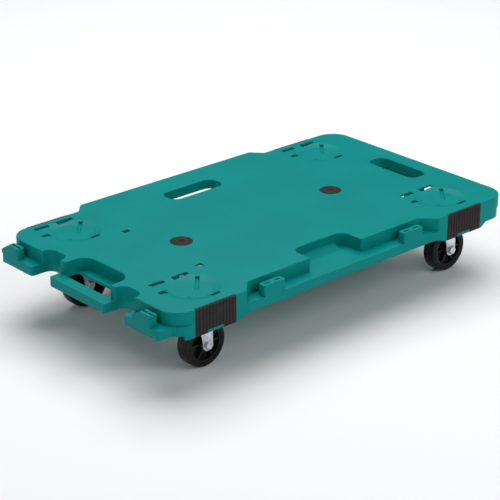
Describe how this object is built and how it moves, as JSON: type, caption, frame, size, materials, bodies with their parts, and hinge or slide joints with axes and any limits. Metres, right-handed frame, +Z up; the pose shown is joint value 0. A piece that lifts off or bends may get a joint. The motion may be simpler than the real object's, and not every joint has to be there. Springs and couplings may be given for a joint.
{
  "type": "connectable platform dolly",
  "caption": "Low moulded platform dolly on swivel casters, with hand slots, a carrying bar and lugs and lips that couple it to others.",
  "frame": {"origin": "on the floor under the middle of the deck's overall length and width", "axes": "+X along the deck to its hooked end, away from the carrying bar; +Y to the long side with the hooked lip; +Z up"},
  "size_m": [0.719, 0.422, 0.1288],
  "materials": {
    "deck_plastic": "fine-grained moulded plastic",
    "pad_rubber": "ribbed matte rubber",
    "disc_rubber": "matte rubber",
    "black_screw": "black oxide",
    "zinc_plate": "bright zinc plating",
    "zinc_fastener": "zinc plating",
    "bearing_steel": "polished",
    "wheel_plastic": "moulded nylon",
    "tyre_rubber": "smooth rubber"
  },
  "bodies": {
    "deck_body": {"deck": "deck_plastic", "anti_slip_disc_left": "disc_rubber", "anti_slip_disc_right": "disc_rubber", "anti_slip_disc_screws": "black_screw", "bumper_pad_near_left": "pad_rubber", "caster_plate_near_left": "zinc_plate", "mount_screws_near_left": "zinc_fastener", "king_pin_near_left": "zinc_fastener", "bearing_balls_near_left": "bearing_steel", "bumper_pad_back_left": "pad_rubber", "caster_plate_back_left": "zinc_plate", "mount_screws_back_left": "zinc_fastener", "king_pin_back_left": "zinc_fastener", "bearing_balls_back_left": "bearing_steel", "bumper_pad_near_right": "pad_rubber", "caster_plate_near_right": "zinc_plate", "mount_screws_near_right": "zinc_fastener", "king_pin_near_right": "zinc_fastener", "bearing_balls_near_right": "bearing_steel", "bumper_pad_back_right": "pad_rubber", "caster_plate_back_right": "zinc_plate", "mount_screws_back_right": "zinc_fastener", "king_pin_back_right": "zinc_fastener", "bearing_balls_back_right": "bearing_steel"},
    "fork_near_left": {"caster_fork_near_left": "zinc_plate", "axle_sleeve_near_left": "zinc_fastener", "axle_bolt_near_left": "zinc_fastener", "axle_nut_near_left": "zinc_fastener"},
    "wheel_near_left": {"wheel_centre_near_left": "wheel_plastic", "tyre_near_left": "tyre_rubber"},
    "fork_back_left": {"caster_fork_back_left": "zinc_plate", "axle_sleeve_back_left": "zinc_fastener", "axle_bolt_back_left": "zinc_fastener", "axle_nut_back_left": "zinc_fastener"},
    "wheel_back_left": {"wheel_centre_back_left": "wheel_plastic", "tyre_back_left": "tyre_rubber"},
    "fork_near_right": {"caster_fork_near_right": "zinc_plate", "axle_sleeve_near_right": "zinc_fastener", "axle_bolt_near_right": "zinc_fastener", "axle_nut_near_right": "zinc_fastener"},
    "wheel_near_right": {"wheel_centre_near_right": "wheel_plastic", "tyre_near_right": "tyre_rubber"},
    "fork_back_right": {"caster_fork_back_right": "zinc_plate", "axle_sleeve_back_right": "zinc_fastener", "axle_bolt_back_right": "zinc_fastener", "axle_nut_back_right": "zinc_fastener"},
    "wheel_back_right": {"wheel_centre_back_right": "wheel_plastic", "tyre_back_right": "tyre_rubber"}
  },
  "joints": [
    {"name": "swivel_near_left", "type": "hinge", "parent": "deck_body", "child": "fork_near_left", "pos_m": [-0.2645, -0.1494, 0.092], "axis": [0, 0, 1], "continuous": true},
    {"name": "roll_near_left", "type": "hinge", "parent": "fork_near_left", "child": "wheel_near_left", "pos_m": [-0.2415, -0.1494, 0.0375], "axis": [0, 1, 0], "continuous": true},
    {"name": "swivel_back_left", "type": "hinge", "parent": "deck_body", "child": "fork_back_left", "pos_m": [-0.2645, 0.1306, 0.092], "axis": [0, 0, 1], "continuous": true},
    {"name": "roll_back_left", "type": "hinge", "parent": "fork_back_left", "child": "wheel_back_left", "pos_m": [-0.2415, 0.1306, 0.0375], "axis": [0, 1, 0], "continuous": true},
    {"name": "swivel_near_right", "type": "hinge", "parent": "deck_body", "child": "fork_near_right", "pos_m": [0.2555, -0.1494, 0.092], "axis": [0, 0, 1], "continuous": true},
    {"name": "roll_near_right", "type": "hinge", "parent": "fork_near_right", "child": "wheel_near_right", "pos_m": [0.2785, -0.1494, 0.0375], "axis": [0, 1, 0], "continuous": true},
    {"name": "swivel_back_right", "type": "hinge", "parent": "deck_body", "child": "fork_back_right", "pos_m": [0.2555, 0.1306, 0.092], "axis": [0, 0, 1], "continuous": true},
    {"name": "roll_back_right", "type": "hinge", "parent": "fork_back_right", "child": "wheel_back_right", "pos_m": [0.2785, 0.1306, 0.0375], "axis": [0, 1, 0], "continuous": true}
  ]
}
